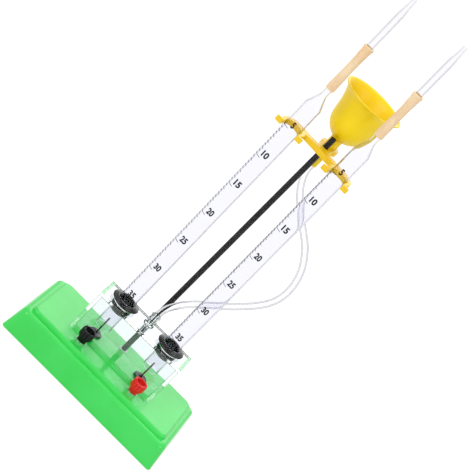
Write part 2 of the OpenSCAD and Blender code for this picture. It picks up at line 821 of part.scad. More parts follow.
module clamp_washer(side) {
    color([0.85, 0.85, 0.86])
    translate([side * post_pitch / 2, post_y, 0])
        sleeve(clamp_washer_r, stud_r + run_gap, washer_z, clamp_washer_h);
}

module black_post_washer() { clamp_washer(-1); }
module red_post_washer() { clamp_washer(1); }

// Threaded stud with its flange on the deck, a plug socket in its end and a hole for bare wire
module post_stud(side) {
    color([0.83, 0.83, 0.84])
    translate([side * post_pitch / 2, post_y, 0])
        difference() {
            union() {
                translate([0, 0, stud_end_z])
                    cylinder(r = stud_r, h = stud_top_z - stud_end_z);
                translate([0, 0, deck_z])
                    cylinder(r = stud_flange_r, h = stud_flange_h);
            }
            translate([0, 0, stud_top_z - socket_h])
                cylinder(r = socket_d / 2, h = socket_h + overrun);
            translate([-stud_flange_r, 0, cap_z + 1.5 * wire_hole_r])
                rotate([0, 90, 0])
                    cylinder(r = wire_hole_r, h = 2 * stud_flange_r);
        }
}

module black_post_stud() { post_stud(-1); }
module red_post_stud() { post_stud(1); }

module post_nuts() {
    color([0.78, 0.78, 0.8])
    for (sx = [-1, 1])
        translate([sx * post_pitch / 2, post_y, 0])
            hex_nut(10 * stud_d / 6, stud_r + fit_gap, post_nut_z, post_nut_h);
}

module post_lock_washers() {
    color([0.7, 0.7, 0.72])
    for (sx = [-1, 1])
        translate([sx * post_pitch / 2, post_y, 0])
            sleeve(1.7 * stud_r, stud_r + fit_gap, ceiling_z - lock_washer_h, lock_washer_h);
}

module post_lugs() {
    color([0.8, 0.72, 0.45])
    for (sx = [-1, 1])
        translate([sx * post_pitch / 2, post_y, 0])
            mirror([sx < 0 ? 1 : 0, 0, 0])
                solder_lug(1.6 * stud_r, stud_r + fit_gap, post_lug_len, post_lug_z);
}

module electrode_nuts() {
    color([0.78, 0.78, 0.8])
    for (sx = [-1, 1])
        translate([sx * tube_pitch / 2, 0, 0])
            hex_nut(5.5 * stem_d / 3, stem_d / 2 + fit_gap, electrode_nut_z, electrode_nut_h);
}

module electrode_lugs() {
    color([0.8, 0.72, 0.45])
    for (sx = [-1, 1])
        translate([sx * tube_pitch / 2, 0, 0])
            mirror([sx < 0 ? 1 : 0, 0, 0])
                solder_lug(0.7 * plug_neck_od, stem_d / 2 + fit_gap, electrode_lug_len, electrode_lug_z);
}

// Insulated wire under the deck, from an electrode's lug to its post's lug
module lead_wire(side, tint) {
    from = [tube_pitch / 2 + electrode_lug_len, 0, ceiling_z - wire_d / 2 - fit_gap];
    to = [post_pitch / 2 + post_lug_len, post_y, post_lug_z + lug_t / 2];
    bow = electrode_lug_len;
    route = [from, from + [bow / 2, -bow / 8, -bow / 8], [from[0] + bow, post_y / 4, from[2] - bow / 3],
        [to[0] + bow, post_y / 2, to[2] - bow / 2], [to[0] + bow * 0.9, 0.8 * post_y, to[2] - bow / 3],
        to + [bow / 2, bow / 8, -bow / 8], to];
    color(tint)
    mirror([side < 0 ? 1 : 0, 0, 0])
        swept_cord(smooth_route(route, wire_steps), wire_d, wire_sides, [0, 0, 1], [1, 0, 0], [-1, 0, 0]);
}

module left_lead_wire() { lead_wire(-1, [0.12, 0.12, 0.13]); }
module right_lead_wire() { lead_wire(1, [0.85, 0.1, 0.1]); }

base_shell();
support_rod();
rod_foot_washer();
rod_nut();
electrolysis_tank();
tank_lid();
left_stopper();
right_stopper();
left_gas_tube();
right_gas_tube();
left_latex_sleeve();
right_latex_sleeve();
left_glass_jet();
right_glass_jet();
tube_bracket();
filling_funnel();
filling_hose();
inlet_nozzle();
left_electrode();
right_electrode();
left_electrode_plug();
right_electrode_plug();
black_post_cap();
red_post_cap();
black_post_washer();
red_post_washer();
black_post_stud();
red_post_stud();
post_nuts();
post_lock_washers();
post_lugs();
electrode_nuts();
electrode_lugs();
left_lead_wire();
right_lead_wire();
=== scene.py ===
"""Looks of a classroom voltameter, which splits water into its gases: moulded base, clear tank, two
graduated gas tubes, funnel and filling hose.  Shapes are drawn in millimetres in the part's own frame
and put into metres when a piece is finished."""

import math

import bmesh
import bpy
from mathutils import Matrix, Vector


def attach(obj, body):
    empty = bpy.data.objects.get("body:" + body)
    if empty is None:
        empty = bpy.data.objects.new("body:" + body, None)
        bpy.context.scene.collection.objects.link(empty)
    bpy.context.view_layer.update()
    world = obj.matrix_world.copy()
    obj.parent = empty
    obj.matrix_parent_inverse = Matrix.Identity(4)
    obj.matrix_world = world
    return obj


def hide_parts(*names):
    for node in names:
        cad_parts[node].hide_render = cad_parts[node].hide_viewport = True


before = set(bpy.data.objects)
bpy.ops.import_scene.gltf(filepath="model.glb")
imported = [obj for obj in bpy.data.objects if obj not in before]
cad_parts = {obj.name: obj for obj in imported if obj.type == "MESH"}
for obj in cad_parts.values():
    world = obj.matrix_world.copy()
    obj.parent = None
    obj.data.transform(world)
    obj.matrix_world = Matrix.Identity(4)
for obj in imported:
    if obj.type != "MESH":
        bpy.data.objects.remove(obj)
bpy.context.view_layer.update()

MM = 0.001

# Base, in millimetres
base_w = 171
base_d = 95
skirt_draw = 3
skirt_h = 24
deck_h = 4
ledge_t = 6
base_wall = 2.5
skirt_corner_r = 7
deck_corner_r = 6
ledge_edge_r = 4.5
deck_edge_r = 2.5
rib_t = 2
rib_h = 9
deck_z = skirt_h + deck_h
ceiling_z = deck_z - base_wall
skirt_w = base_w - 2 * skirt_draw
skirt_d = base_d - 2 * skirt_draw
deck_w = skirt_w - 2 * ledge_t
deck_d = skirt_d - 2 * ledge_t

# Tank and lid
tank_w = 93
tank_d = 31
tank_h = 39
tank_wall = 3
lid_t = 3
floor_z = deck_z + tank_wall
lid_z = deck_z + tank_h + lid_t

# Gas tubes, sleeves and jets, with heights above the lid along each tube
tube_pitch = 53
tube_r = 7.8
glass_t = 0.9
tube_dip = 25
left_tube_drop = 3.2
tube_top = 237
shoulder_len = 13.5
neck_r = 3
neck_len = 19
bare_neck = 6.5
sleeve_len = 46
jet_grip = 13
jet_straight = 32.5
jet_taper = 18
neck_top = tube_top + shoulder_len + neck_len
sleeve_foot = tube_top + shoulder_len + bare_neck
sleeve_top = sleeve_foot + sleeve_len
jet_foot = sleeve_top - jet_grip
jet_shoulder = sleeve_top + jet_straight
jet_tip = jet_shoulder + jet_taper
jet_tip_r = 1.8
jet_grip_r = 0.97 * neck_r
jet_foot_r = 0.93 * neck_r

# Printed scale: ten marks for 5 mL, and a number over each tenth mark
ink_t = 0.03
mark_step = 33.43 / 10
mark_count = 61
mark_h = 0.46
number_rise = 4.9
number_x = -0.5
number_h = 6
digit_w = 2.8
digit_gap = 0.5

# Support rod, bracket and funnel
rod_r = 2.5
rod_y = 22.3
bracket_rise = 254.5
bracket_z = deck_z + bracket_rise
bracket_h = 4.8
head_turn = math.radians(7.5)
rod_above_bracket = 10.5
rod_top_z = bracket_z + rod_above_bracket
rod_end_z = 4.32
rod_boss_r = rod_r + 3.5
funnel_reach = 14.6
funnel_neck_h = 8
bowl_h = 43.5
rim_r = 28.5
funnel_t = 1.6
stem_r = 4
stem_len = 22.5
stem_end_z = bracket_z - stem_len
bowl_foot_z = bracket_z + funnel_neck_h

# Hose, nozzle, electrodes and posts
hose_r = 3.1
hose_wall = 1.05
socket_depth = 8
socket_r = hose_r + 0.05
nozzle_y = 4
nozzle_h = 12
nozzle_r = 4.55
nozzle_top_z = lid_z + nozzle_h
post_pitch = 60
post_gap = 8
post_y = -tank_d / 2 - post_gap
stud_r = 3
run_gap = 0.06

sides = {"left": -1, "right": 1}


def head_xy(x, y):
    """A place in the bracket's own plan, seen in the part's frame."""
    c, s = math.cos(head_turn), math.sin(head_turn)
    return x * c + y * s, rod_y - x * s + y * c


def on_tube(side):
    """Puts a shape drawn upright, with zero at the lid's top, on a gas tube's leaning axis."""
    foot_x = side * tube_pitch / 2
    grip_x, grip_y = head_xy(foot_x, -rod_y)
    rise = bracket_z - bracket_h / 2 - lid_z
    span = math.hypot(grip_x - foot_x, grip_y, rise)
    lean = Matrix.Rotation(math.atan2(grip_x - foot_x, rise), 4, "Y")
    tilt = Matrix.Rotation(math.asin(-grip_y / span), 4, "X")
    drop = left_tube_drop if side < 0 else 0
    return Matrix.Translation((foot_x, 0, lid_z)) @ lean @ tilt @ Matrix.Translation((0, 0, -drop))


def smooth_line(points, steps):
    """A smooth line through points, the same curve that the part's hose and wires follow."""
    line = []
    last = len(points) - 1
    for i in range(last):
        a, b, c, d = (Vector(points[min(max(k, 0), last)]) for k in (i - 1, i, i + 1, i + 2))
        for j in range(steps):
            t = j / steps
            line.append(0.5 * (2 * b + (c - a) * t + (2 * a - 5 * b + 4 * c - d) * t * t
                               + (3 * b - a - 3 * c + d) * t ** 3))
    return line + [Vector(points[last])]


def eased(points, ease=0.2, steps=3):
    """Rounds the corners of a closed outline of (radius, height) points.
    A third number is that corner's own ease."""
    outline = []
    for i, (r, z, *own) in enumerate(points):
        corner = Vector((r, z))
        before = Vector(points[i - 1][:2]) - corner
        after = Vector(points[(i + 1) % len(points)][:2]) - corner
        cut = min(own[0] if own else ease, before.length / 2.2, after.length / 2.2)
        if cut <= 0 or r <= 0:
            outline.append(corner)
            continue
        start = corner + before.normalized() * cut
        end = corner + after.normalized() * cut
        for j in range(steps + 1):
            t = j / steps
            outline.append((1 - t) ** 2 * start + 2 * t * (1 - t) * corner + t * t * end)
    return outline


def turned(outline, segments=72):
    """A closed outline of (radius, height) turned round the Z axis."""
    pole_weld = 0.0005
    bm = bmesh.new()
    verts = [bm.verts.new((r, 0, z)) for r, z in outline]
    pairs = zip(verts, verts[1:] + verts[:1])
    edges = [bm.edges.new(pair) for pair in pairs if max(v.co.x for v in pair) > 0]
    bmesh.ops.spin(bm, geom=verts + edges, cent=(0, 0, 0), axis=(0, 0, 1), angle=math.tau,
                   steps=segments, use_merge=True)
    bmesh.ops.remove_doubles(bm, verts=bm.verts, dist=pole_weld)
    return bm


def finished(name, bm, material, body="stand", place=None, node=None, sharp=35, wall=0, edge=0):
    """Makes a bmesh a smooth-shaded piece at its place, riding on a body and standing for a CAD node.
    A skin gets its wall inwards, and its sharp edges can be broken."""
    if place:
        bmesh.ops.transform(bm, matrix=place, verts=bm.verts)
    bmesh.ops.scale(bm, vec=(MM, MM, MM), verts=bm.verts)
    bmesh.ops.recalc_face_normals(bm, faces=bm.faces)
    if bm.calc_volume(signed=True) < 0:
        bmesh.ops.reverse_faces(bm, faces=bm.faces)
    mesh = bpy.data.meshes.new(name)
    bm.to_mesh(mesh)
    bm.free()
    mesh.shade_smooth()
    mesh.set_sharp_from_angle(angle=math.radians(sharp))
    mesh.materials.append(material)
    piece = bpy.data.objects.new(name, mesh)
    bpy.context.scene.collection.objects.link(piece)
    if wall:
        skin = piece.modifiers.new("wall", "SOLIDIFY")
        skin.thickness = wall * MM
        skin.offset = -1
        skin.use_even_offset = True
    if edge:
        broken = piece.modifiers.new("broken_edges", "BEVEL")
        broken.width = edge * MM
        broken.segments = 2
        broken.limit_method = "ANGLE"
    level = piece.modifiers.new("level_faces", "WEIGHTED_NORMAL")
    level.keep_sharp = True
    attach(piece, body)
    if node:
        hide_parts(node)
    return piece


def cad_copy(node, ease, sharp=30):
    """A merged copy of a CAD node, in millimetres, with its sharp edges rounded."""
    weld = 0.003
    flat = math.radians(1)
    bm = bmesh.new()
    bm.from_mesh(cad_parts[node].data)
    bmesh.ops.scale(bm, vec=(1 / MM, 1 / MM, 1 / MM), verts=bm.verts)
    bmesh.ops.remove_doubles(bm, verts=bm.verts, dist=weld)
    bmesh.ops.dissolve_limit(bm, angle_limit=flat, verts=bm.verts, edges=bm.edges)
    edges = [e for e in bm.edges if len(e.link_faces) == 2 and e.calc_face_angle() > math.radians(sharp)]
    bmesh.ops.bevel(bm, geom=edges, offset=ease, offset_type="OFFSET", affect="EDGES", segments=3,
                    profile=0.5, material=-1, clamp_overlap=False)
    return bm


# Materials

def principled(name, **values):
    """A material whose Principled shader has the given values on its own sockets."""
    material = bpy.data.materials.new(name)
    material.use_nodes = True
    shader = material.node_tree.nodes["Principled BSDF"]
    for socket, value in values.items():
        shader.inputs[socket.replace("_", " ")].default_value = value
    return material


def node_of(material, kind, **values):
    """A new shader node of a kind, with the given values on its sockets."""
    node = material.node_tree.nodes.new(kind)
    for socket, value in values.items():
        node.inputs[socket.replace("_", " ")].default_value = value
    return node


def join(material, output, target):
    """Links an output to a socket."""
    material.node_tree.links.new(output, target)


def socket_of(material, name):
    """A socket of the material's Principled shader."""
    return material.node_tree.nodes["Principled BSDF"].inputs[name]


def noise(material, size, detail=2.0, stretch=(1, 1, 1)):
    """Noise in the piece's own coordinates, its patches about size millimetres across."""
    coordinates = node_of(material, "ShaderNodeTexCoord")
    mapping = node_of(material, "ShaderNodeMapping", Scale=stretch)
    texture = node_of(material, "ShaderNodeTexNoise", Scale=1 / (size * MM), Detail=detail)
    join(material, coordinates.outputs["Object"], mapping.inputs["Vector"])
    join(material, mapping.outputs["Vector"], texture.inputs["Vector"])
    return texture.outputs["Fac"]


def tinted(material, factor, low, high, start=0.35, end=0.65):
    """Runs the base colour from low to high with a factor."""
    ramp = node_of(material, "ShaderNodeValToRGB")
    ramp.color_ramp.elements[0].position = start
    ramp.color_ramp.elements[0].color = low
    ramp.color_ramp.elements[1].position = end
    ramp.color_ramp.elements[1].color = high
    join(material, factor, ramp.inputs["Fac"])
    join(material, ramp.outputs["Color"], socket_of(material, "Base Color"))


def varied(material, factor, socket, low, high):
    """Runs a plain socket from low to high with a factor."""
    spread = node_of(material, "ShaderNodeMapRange", From_Min=0.3, From_Max=0.7, To_Min=low, To_Max=high)
    join(material, factor, spread.inputs["Value"])
    join(material, spread.outputs["Result"], socket_of(material, socket))


def bumped(material, factor, depth):
    """Raises the surface by depth millimetres with a factor."""
    bump = node_of(material, "ShaderNodeBump", Height=0.0, Strength=1.0, Distance=depth * MM)
    join(material, factor, bump.inputs["Height"])
    join(material, bump.outputs["Normal"], socket_of(material, "Normal"))


def rgb(code):
    """A colour written as six hex digits, in Blender's linear values with a full alpha."""
    channels = (int(code[i:i + 2], 16) / 255 for i in (0, 2, 4))
    return (*(c / 12.92 if c <= 0.04045 else ((c + 0.055) / 1.055) ** 2.4 for c in channels), 1.0)


def moulded_plastic(name, dark, light, roughness, grain=1.2, depth=0.004, gloss=0.5):
    """Glossy moulded plastic: faint colour flow and a fine orange peel."""
    material = principled(name, Specular_IOR_Level=gloss, IOR=1.5)
    tinted(material, noise(material, size=45, detail=3), rgb(dark), rgb(light))
    varied(material, noise(material, size=9), "Roughness", roughness - 0.04, roughness + 0.05)
    bumped(material, noise(material, size=grain, detail=3), depth)
    return material


def let_light_through(material, clearness=0.95):
    """Lets lamps and soft light reach what stands behind a clear wall."""
    path = node_of(material, "ShaderNodeLightPath")
    unseen = node_of(material, "ShaderNodeMath")
    unseen.operation = "MAXIMUM"
    join(material, path.outputs["Is Shadow Ray"], unseen.inputs[0])
    join(material, path.outputs["Is Diffuse Ray"], unseen.inputs[1])
    solid = node_of(material, "ShaderNodeMapRange", To_Min=1.0, To_Max=1 - clearness)
    join(material, unseen.outputs[0], solid.inputs["Value"])
    join(material, solid.outputs["Result"], socket_of(material, "Alpha"))


def clear_wall(name, centre, edge, ior, start, end, roughness=0.0):
    """Glass or clear plastic, whose colour runs from centre to edge where it is seen along the wall: the
    darker edge colour is painted shade, standing in for the dark surroundings that the real walls refract at
    their edges.
    """
    material = principled(name, Transmission_Weight=1.0, IOR=ior, Roughness=roughness)
    painted_edge_shade = node_of(material, "ShaderNodeLayerWeight", Blend=0.5)
    # Painted edge shade: Layer Weight darkens the colour where the wall is seen edge-on, in place of the dark
    # edges that refraction gives.
    tinted(material, painted_edge_shade.outputs["Facing"], rgb(centre), rgb(edge), start, end)
    bumped(material, noise(material, size=14, detail=1), depth=0.01)
    let_light_through(material)
    return material


def painted_rod():
    """Black paint on steel, with faint dust and a soft sheen."""
    material = principled("black_rod_paint", Specular_IOR_Level=0.3)
    tinted(material, noise(material, size=8, detail=3, stretch=(1, 1, 0.3)), rgb("141416"), rgb("1C1C1E"))
    varied(material, noise(material, size=5), "Roughness", 0.36, 0.44)
    bumped(material, noise(material, size=0.9, detail=2), depth=0.002)
    return material


def black_rubber():
    """Moulded rubber with a soft bloom."""
    material = principled("black_rubber", Specular_IOR_Level=0.35)
    tinted(material, noise(material, size=5, detail=5), rgb("0E1010"), rgb("181A19"))
    varied(material, noise(material, size=2.5), "Roughness", 0.18, 0.26)
    bumped(material, noise(material, size=0.8, detail=4), depth=0.003)
    return material


def latex():
    """Natural latex: warm and slightly see-through, with a powdery skin."""
    material = principled("latex", Subsurface_Weight=0.15, Subsurface_Radius=(0.006, 0.003, 0.0015),
                          Subsurface_Scale=0.3, Specular_IOR_Level=0.35)
    tinted(material, noise(material, size=7, detail=3, stretch=(1, 1, 0.35)), rgb("EBC99E"), rgb("F3D8B2"))
    varied(material, noise(material, size=4), "Roughness", 0.46, 0.6)
    bumped(material, noise(material, size=0.9, detail=4, stretch=(1, 1, 0.4)), depth=0.006)
    return material


def plated_metal(name, dark, light, roughness):
    """Plated or bare metal with fine turning marks."""
    material = principled(name, Metallic=1.0)
    tinted(material, noise(material, size=3, detail=4), rgb(dark), rgb(light))
    varied(material, noise(material, size=0.6, detail=4, stretch=(0.3, 0.3, 3)), "Roughness",
           roughness - 0.06, roughness + 0.08)
    bumped(material, noise(material, size=0.4, detail=3, stretch=(0.3, 0.3, 3)), depth=0.004)
    return material


def wire_covering(name, dark, light):
    """Soft insulation of a lead wire."""
    material = principled(name, Specular_IOR_Level=0.45)
    tinted(material, noise(material, size=4, detail=3), rgb(dark), rgb(light))
    varied(material, noise(material, size=2), "Roughness", 0.32, 0.42)
    bumped(material, noise(material, size=0.6, detail=3), depth=0.006)
    return material


def scale_ink():
    """Black ink fired on the glass, a little uneven."""
    material = principled("scale_ink", Specular_IOR_Level=0.3)
    tinted(material, noise(material, size=0.8, detail=4), rgb("121214"), rgb("26262A"))
    varied(material, noise(material, size=0.5), "Roughness", 0.4, 0.6)
    bumped(material, noise(material, size=0.3, detail=3), depth=0.004)
    return material


green = moulded_plastic("green_moulding", "2ED24E", "3AD959", roughness=0.18, depth=0.002)
yellow = moulded_plastic("yellow_moulding", "F2CE04", "F8DA0C", roughness=0.36, gloss=0.3)
amber = moulded_plastic("amber_moulding", "EEC20C", "F4CC16", roughness=0.34, gloss=0.4)
black_plastic = moulded_plastic("black_plastic", "080A09", "101211", roughness=0.3, grain=0.8, gloss=0.25)
red_plastic = moulded_plastic("red_plastic", "D9170F", "E5221A", roughness=0.34, grain=0.8, gloss=0.4)
pale_plastic = moulded_plastic("pale_plastic", "DDE8DD", "EBF3EA", roughness=0.4, grain=0.8)
# The second colour of each clear material is its painted edge shade, not a tint of the glass or plastic.
glass = clear_wall("tube_glass", "F4F4F9", "5C6068", ior=1.2, start=0.5, end=0.85)
acrylic = clear_wall("clear_acrylic", "F4F8FA", "BFE2D0", ior=1.49, start=0.6, end=0.95, roughness=0.01)
jet_glass = clear_wall("jet_glass", "FBFBFE", "6C7078", ior=1.15, start=0.25, end=0.8)
nozzle_plastic = clear_wall("nozzle_plastic", "FCFEFD", "C0DDD0", ior=1.2, start=0.4, end=0.95,
                            roughness=0.06)
hose_plastic = clear_wall("clear_hose", "FAFAFC", "666A72", ior=1.2, start=0.15, end=0.75)
paint = painted_rod()
rubber = black_rubber()
latex_skin = latex()
steel = plated_metal("plated_steel", "D2D3D6", "ECEDEF", roughness=0.22)
dark_metal = plated_metal("electrode_metal", "4A4846", "66635F", roughness=0.4)
brass = plated_metal("tinned_brass", "B9A36A", "D2C08A", roughness=0.32)
black_covering = wire_covering("black_insulation", "17171A", "222225")
red_covering = wire_covering("red_insulation", "C01819", "D12526")
ink = scale_ink()


# Camera

def make_camera():
    """The photograph's view: from the front and above, with the camera rolled by 45 degrees."""
    place = (-0.00181, -1.17616, 0.64801)
    pitch = math.radians(21.54)
    right = Vector((1, 0, 0))
    up = Vector((0, math.sin(pitch), math.cos(pitch)))
    back = Vector((0, -math.cos(pitch), math.sin(pitch)))
    image_right = (right + up).normalized()
    image_up = (up - right).normalized()
    turn = Matrix((image_right, image_up, back)).transposed().to_4x4()
    lens = bpy.data.cameras.new("photo_camera")
    lens.lens = 119.93
    lens.shift_x = -0.00024
    lens.shift_y = -0.00102
    lens.clip_start = 0.05
    lens.clip_end = 20
    camera = bpy.data.objects.new("photo_camera", lens)
    camera.matrix_world = Matrix.Translation(place) @ turn
    bpy.context.scene.collection.objects.link(camera)
    bpy.context.scene.camera = camera


# Hose

def line_frames(line):
    """A frame at each point of a line, its Z along the line, carried on without a twist."""
    ahead = Vector((0, 0, 1))
    turn = ahead.rotation_difference(line[1] - line[0])
    frames = []
    for i, point in enumerate(line):
        tangent = line[min(i + 1, len(line) - 1)] - line[max(i - 1, 0)]
        turn = (turn @ ahead).rotation_difference(tangent) @ turn
        frames.append(Matrix.Translation(point) @ turn.to_matrix().to_4x4())
    return frames


def swept(line, radius, segments, capped):
    """A ring carried along a line, closed at its ends if capped."""
    bm = bmesh.new()
    bmesh.ops.create_circle(bm, segments=segments, radius=radius, cap_ends=False)
    frames = line_frames(line)
    bmesh.ops.transform(bm, matrix=frames[0], verts=bm.verts)
    edges = list(bm.edges)
    rims = [edges]
    for here, there in zip(frames, frames[1:]):
        grown = bmesh.ops.extrude_edge_only(bm, edges=edges)["geom"]
        verts = [g for g in grown if isinstance(g, bmesh.types.BMVert)]
        edges = [g for g in grown if isinstance(g, bmesh.types.BMEdge)
                 and all(v in verts for v in g.verts)]
        bmesh.ops.transform(bm, matrix=there @ here.inverted(), verts=verts)
    rims.append(edges)
    if capped:
        for rim in rims:
            bmesh.ops.edgeloop_fill(bm, edges=rim)
    return bm


def filling_hose():
    """Clear hose from inside the funnel's stem, out to the right and back into the nozzle."""
    start = Vector((*head_xy(0, funnel_reach), stem_end_z + socket_depth))
    end = Vector((0, nozzle_y, nozzle_top_z - socket_depth))
    depth = Vector((0, 0, socket_depth))
    bends = [(2.5, 36.7, 225), (4.9, 36.3, 218), (10.2, 35.4, 209.7), (20, 33.2, 200), (33, 29.6, 190.5),
             (46, 25.6, 181), (56, 22.4, 168.5), (61, 20.4, 155.5), (62.2, 19, 143.5), (60, 17.8, 131.5),
             (53.4, 16.8, 119.5), (43, 15.6, 107), (31, 14.4, 95), (17.6, 11.6, 84), (7.6, 7.5, 73.5),
             (1.6, 4.7, 63)]
    route = [start, start - depth, *[(x, y, deck_z + z) for x, y, z in bends], end + depth, end]
    line = smooth_line(route, steps=8)
    skin = swept(line, hose_r, segments=28, capped=False)
    hose = finished("filling_hose_tube", skin, hose_plastic, node="filling_hose",
                    wall=hose_wall)


# Base

def rounded_ring(bm, width, depth, radius, z, steps=10):
    """A level loop with round corners: a circle whose quarters are moved apart."""
    count = 4 * steps
    ring = bmesh.ops.create_circle(bm, segments=count, radius=radius)["verts"]
    bmesh.ops.rotate(bm, verts=ring, cent=(0, 0, 0), matrix=Matrix.Rotation(math.pi / count, 3, "Z"))
    for v in ring:
        v.co.x += math.copysign(width / 2 - radius, v.co.x)
        v.co.y += math.copysign(depth / 2 - radius, v.co.y)
        v.co.z = z
    return list({e for v in ring for e in v.link_edges})


def rounded_edge(width, depth, corner_r, edge_r, top, steps=6):
    """Loops that round an upper edge whose top is at the given height."""
    loops = []
    for i in range(steps + 1):
        a = math.radians(90 * i / steps)
        draw = edge_r * (1 - math.cos(a))
        height = top - edge_r * (1 - math.sin(a))
        loops.append((width - 2 * draw, depth - 2 * draw, corner_r - draw / 2, height))
    return loops


def add_box(bm, low, high):
    """A box between two corners."""
    low, high = Vector(low), Vector(high)
    place = Matrix.Translation((low + high) / 2) @ Matrix.Diagonal((*(high - low), 1))
    return bmesh.ops.create_cube(bm, size=1, matrix=place)["verts"]


def base_moulding():
    """Hollow base: a drafted skirt, a rounded ledge and a raised deck, with ribs and the rod's boss below."""
    bm = bmesh.new()
    inner_w, inner_d = deck_w - 2 * base_wall, deck_d - 2 * base_wall
    foot_r = skirt_corner_r / 2
    cavity = [(inner_w, inner_d, deck_corner_r - base_wall, ceiling_z),
              (inner_w, inner_d, deck_corner_r - base_wall, skirt_h - base_wall),
              (skirt_w - 2 * base_wall, skirt_d - 2 * base_wall, skirt_corner_r / 2,
               skirt_h - ledge_edge_r - base_wall / 2),
              (base_w - 2 * base_wall, base_d - 2 * base_wall, foot_r / 2, 0)]
    broken = 0.3
    foot = [(base_w - 2 * broken, base_d - 2 * broken, foot_r - broken, 0), (base_w, base_d, foot_r, broken)]
    inset = 0.4
    ledge = [(deck_w + 2 * inset, deck_d + 2 * inset, deck_corner_r + inset, skirt_h),
             (deck_w + inset / 2, deck_d + inset / 2, deck_corner_r + inset / 4, skirt_h + inset / 4),
             (deck_w, deck_d, deck_corner_r, skirt_h + inset)]
    ledge_edge = rounded_edge(skirt_w, skirt_d, skirt_corner_r, ledge_edge_r, skirt_h)
    deck_edge = rounded_edge(deck_w, deck_d, deck_corner_r, deck_edge_r, deck_z)
    loops = [rounded_ring(bm, *level) for level in cavity + foot + ledge_edge + ledge + deck_edge]
    for lower, upper in zip(loops, loops[1:]):
        bmesh.ops.bridge_loops(bm, edges=lower + upper)
    for cap in (loops[0], loops[-1]):
        bmesh.ops.edgeloop_fill(bm, edges=cap)
    sunk = 0.5
    rib_x = 0.33 * base_w
    for side in sides.values():
        add_box(bm, (side * rib_x - rib_t / 2, -skirt_d / 2 + base_wall / 2, ceiling_z - rib_h),
                (side * rib_x + rib_t / 2, skirt_d / 2 - base_wall / 2, skirt_h - base_wall / 2))
        near, far = sorted((side * rod_boss_r / 2, side * rib_x))
        add_box(bm, (near, rod_y - rib_t / 2, ceiling_z - rib_h), (far, rod_y + rib_t / 2, ceiling_z + sunk))
    boss_foot, boss_top = rod_end_z + 5, ceiling_z + sunk
    bmesh.ops.create_cone(bm, cap_ends=True, segments=40, radius1=rod_boss_r, radius2=rod_boss_r,
                          depth=boss_top - boss_foot,
                          matrix=Matrix.Translation((0, rod_y, (boss_top + boss_foot) / 2)))
    finished("base_moulding", bm, green, node="base_shell")


# Tank, lid and nozzle

def acrylic_tank():
    """Clear box, open at the top, its edges just broken."""
    bm = bmesh.new()
    seam = 0.03
    verts = add_box(bm, (-tank_w / 2, -tank_d / 2, deck_z - seam),
                    (tank_w / 2, tank_d / 2, lid_z - lid_t - seam))
    top = max({f for v in verts for f in v.link_faces}, key=lambda f: f.calc_center_median().z)
    bmesh.ops.delete(bm, geom=[top], context="FACES")
    finished("tank_box", bm, acrylic, node="electrolysis_tank", sharp=180,
             wall=tank_wall, edge=0.25)


def acrylic_lid():
    """Clear plate with its two stopper holes and the nozzle's hole."""
    finished("tank_lid_plate", cad_copy("tank_lid", ease=0.3), acrylic, node="tank_lid",
             sharp=20)


def hose_nozzle():
    """Clear nozzle: a flange on the lid, a body with the hose's socket and a spigot through the lid."""
    spigot_r = hose_r
    bore_r = hose_r / 2
    socket_foot = nozzle_h - socket_depth
    flange_r = 5
    flange_h = 1.2
    bevel = nozzle_h / 8
    outline = [(bore_r, -lid_t - bevel), (spigot_r, -lid_t - bevel), (spigot_r, 0, 0), (flange_r, 0),
               (flange_r, flange_h, 0.4), (nozzle_r, 1.5 * flange_h, 0.5), (nozzle_r, nozzle_h - bevel, 0.6),
               (nozzle_r - bevel, nozzle_h, 0.4), (socket_r, nozzle_h), (socket_r, socket_foot),
               (bore_r, socket_foot)]
    finished("inlet_nozzle_body", turned(eased(outline), segments=56), nozzle_plastic,
             place=Matrix.Translation((0, nozzle_y, lid_z)), node="inlet_nozzle")


# Stoppers

def stopper(name, side):
    """Rubber stopper with a ridged collar.  Its bore leans with the tube."""
    collar_h = 4.3
    collar_r = 13.6
    neck = 9.8
    reach = 7.6
    foot_ease = 0.6
    spread = collar_r - neck
    top_r = tube_r + 1.5
    bore = tube_r + run_gap
    # Shares of the collar's spread and height, and the ease there
    ridges = [(0.22, 0, 0.1), (0.42, 0.14, 0.3), (0.36, 0.2, 0.2), (0.68, 0.28, 0.3), (0.62, 0.34, 0.2),
              (0.98, 0.46, 0.5), (0.9, 0.62, 0.5)]
    outline = [(bore, -reach), (neck - foot_ease, -reach, 0.4), (neck, -reach + foot_ease, 0.4),
               (neck, 0, 0.1)]
    outline += [(neck + across * spread, up * collar_h, ease) for across, up, ease in ridges]
    outline += [(top_r + 0.5, collar_h - 0.3, 0.5), (top_r - 0.3, collar_h, 0.4), (bore, collar_h - 0.2, 0.3)]
    bm = turned(eased(outline), segments=80)
    lean = on_tube(side).to_3x3() @ Vector((0, 0, 1))
    bore_skin = 0.35
    for v in bm.verts:
        if math.hypot(v.co.x, v.co.y) < bore + bore_skin:
            v.co.x += lean.x * v.co.z
            v.co.y += lean.y * v.co.z
    place = Matrix.Translation((side * tube_pitch / 2, 0, lid_z))
    finished(f"{name}_stopper_rubber", bm, rubber, place=place, node=f"{name}_stopper")


# Gas tubes, sleeves and jets

def gas_tube(name, side):
    """Glass tube with a fire-polished foot, a soft shoulder and a neck."""
    bore_r = tube_r - glass_t
    step = tube_r - neck_r
    shoulder = [(0, 0), (0.1, 0.05), (0.25, 0.22), (0.5, 0.5), (0.75, 0.78), (0.9, 0.95), (1, 1)]
    outer = [Vector((tube_r - draw * step, tube_top + rise * shoulder_len, 0)) for rise, draw in shoulder]
    curve = smooth_line(outer, steps=4)
    outline = [(bore_r, -tube_dip, 0.4), (tube_r, -tube_dip, 0.4)]
    outline += [(p.x, p.y, 0) for p in curve]
    outline += [(neck_r, neck_top, 0.3), (neck_r - glass_t, neck_top, 0.3)]
    outline += [(p.x - glass_t, p.y, 0) for p in reversed(curve)]
    finished(f"{name}_gas_tube_glass", turned(eased(outline), segments=96), glass, f"{name}_tube",
             on_tube(side), node=f"{name}_gas_tube")


